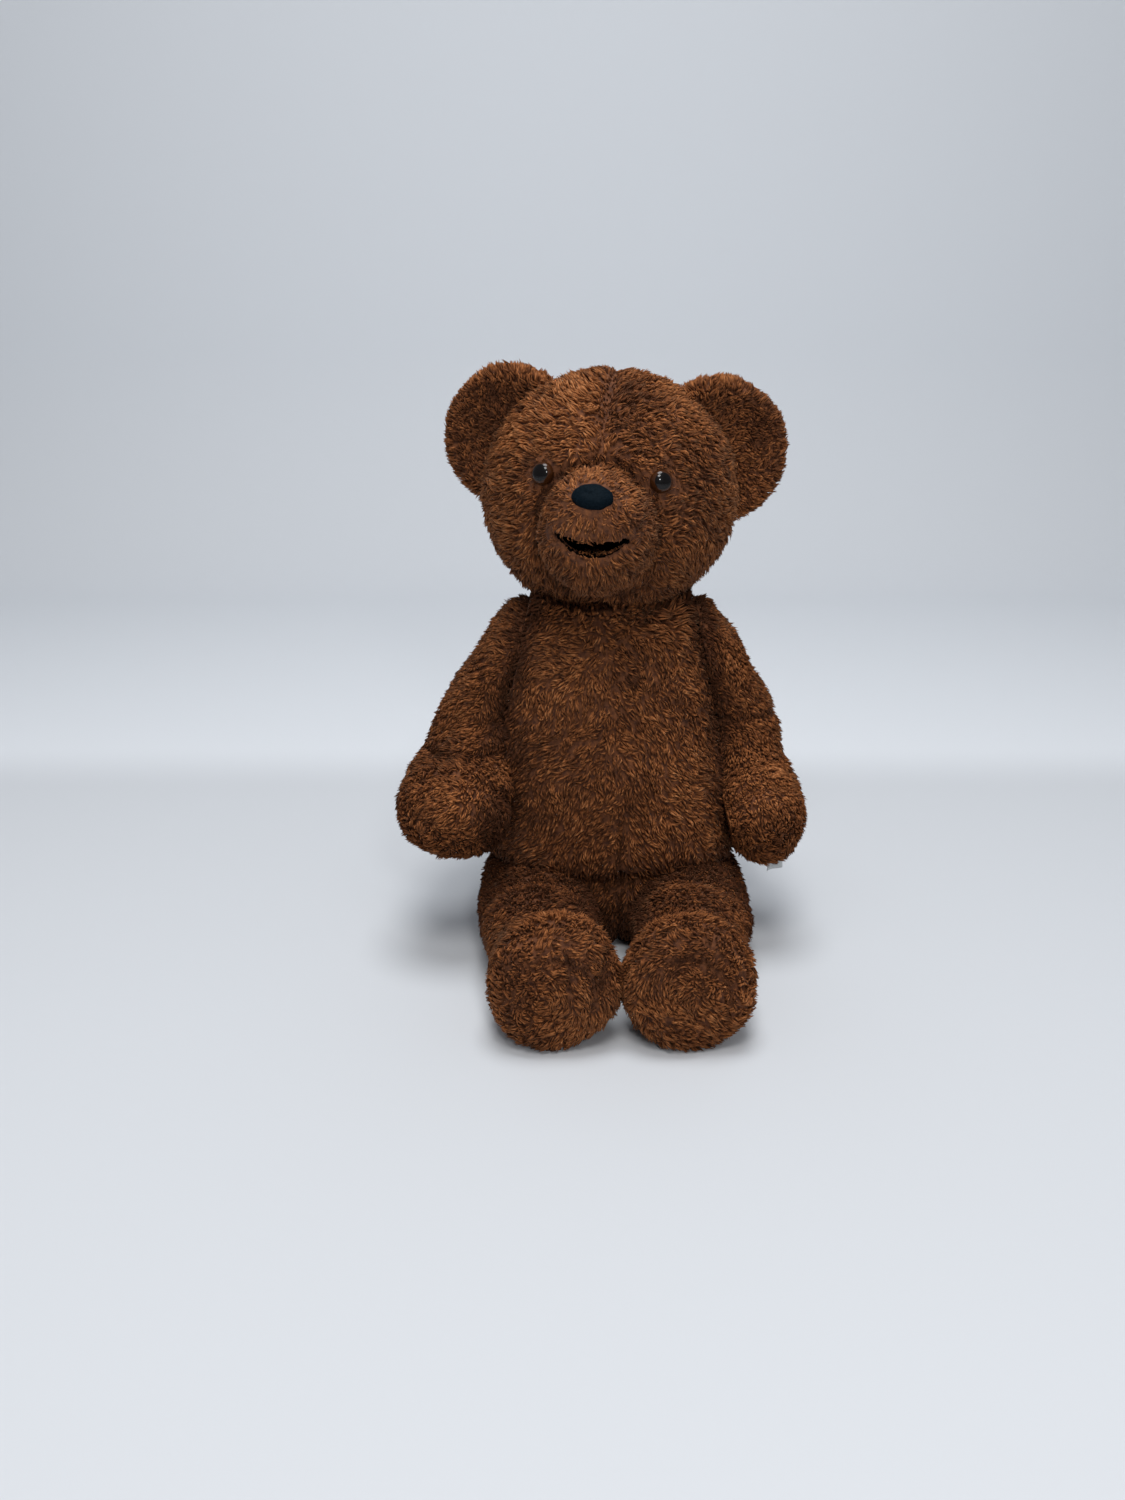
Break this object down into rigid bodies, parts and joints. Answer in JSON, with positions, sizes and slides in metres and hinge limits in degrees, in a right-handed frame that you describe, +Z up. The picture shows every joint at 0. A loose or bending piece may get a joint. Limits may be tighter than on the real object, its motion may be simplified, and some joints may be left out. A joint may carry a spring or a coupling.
{
  "type": "jointed teddy bear",
  "caption": "Seated plush bear with disc-jointed head, arms and legs, round ears, an open felt mouth and round foot soles.",
  "frame": {"origin": "on the floor under the hip axis, midway between the hips", "axes": "+Z up, -Y the way the bear faces, +X to the bear's left"},
  "size_m": [0.1938, 0.1966, 0.2833],
  "materials": {
    "plush": "short pile plush, reddish brown",
    "stuffing": "loose fibre fill",
    "fibreboard": "pressed hardboard",
    "steel": "zinc plated",
    "eye_amber": "clear amber",
    "eye_black": "gloss",
    "nose": "matt flocked",
    "felt": "felt",
    "label": "thin woven nylon"
  },
  "bodies": {
    "torso": {"torso_skin": "plush", "torso_stuffing": "stuffing", "neck_body_disc": "fibreboard", "neck_body_washer": "steel", "left_shoulder_body_disc": "fibreboard", "left_shoulder_body_washer": "steel", "right_shoulder_body_disc": "fibreboard", "right_shoulder_body_washer": "steel", "left_hip_body_disc": "fibreboard", "left_hip_body_washer": "steel", "right_hip_body_disc": "fibreboard", "right_hip_body_washer": "steel"},
    "head": {"head_skin": "plush", "head_stuffing": "stuffing", "left_ear": "plush", "right_ear": "plush", "nose": "nose", "mouth_lining": "felt", "neck_limb_disc": "fibreboard", "neck_limb_washer": "steel", "neck_cotter_pin": "steel", "left_eye_lens": "eye_amber", "left_eye_pupil": "eye_black", "left_eye_washer": "eye_black", "right_eye_lens": "eye_amber", "right_eye_pupil": "eye_black", "right_eye_washer": "eye_black"},
    "left_arm": {"left_arm_skin": "plush", "left_arm_stuffing": "stuffing", "left_shoulder_limb_disc": "fibreboard", "left_shoulder_limb_washer": "steel", "left_shoulder_cotter_pin": "steel", "care_label": "label"},
    "left_leg": {"left_leg_skin": "plush", "left_foot_sole": "plush", "left_leg_stuffing": "stuffing", "left_hip_limb_disc": "fibreboard", "left_hip_limb_washer": "steel", "left_hip_cotter_pin": "steel"},
    "right_arm": {"right_arm_skin": "plush", "right_arm_stuffing": "stuffing", "right_shoulder_limb_disc": "fibreboard", "right_shoulder_limb_washer": "steel", "right_shoulder_cotter_pin": "steel"},
    "right_leg": {"right_leg_skin": "plush", "right_foot_sole": "plush", "right_leg_stuffing": "stuffing", "right_hip_limb_disc": "fibreboard", "right_hip_limb_washer": "steel", "right_hip_cotter_pin": "steel"}
  },
  "joints": [
    {"name": "neck_turn", "type": "hinge", "parent": "torso", "child": "head", "pos_m": [-0.006, 0.002, 0.175], "axis": [0.0558, 0, 0.9984], "continuous": true},
    {"name": "left_shoulder_swing", "type": "hinge", "parent": "torso", "child": "left_arm", "pos_m": [0.04406, 0, 0.149], "axis": [-0.9744, 0, -0.225], "range_deg": [-75, 90]},
    {"name": "right_shoulder_swing", "type": "hinge", "parent": "torso", "child": "right_arm", "pos_m": [-0.04694, 0, 0.149], "axis": [-0.9659, 0, 0.2588], "range_deg": [-75, 90]},
    {"name": "left_hip_swing", "type": "hinge", "parent": "torso", "child": "left_leg", "pos_m": [0.026, 0, 0.023], "axis": [1, 0, 0], "range_deg": [0, 110]},
    {"name": "right_hip_swing", "type": "hinge", "parent": "torso", "child": "right_leg", "pos_m": [-0.026, 0, 0.023], "axis": [1, 0, 0], "range_deg": [0, 110]}
  ]
}
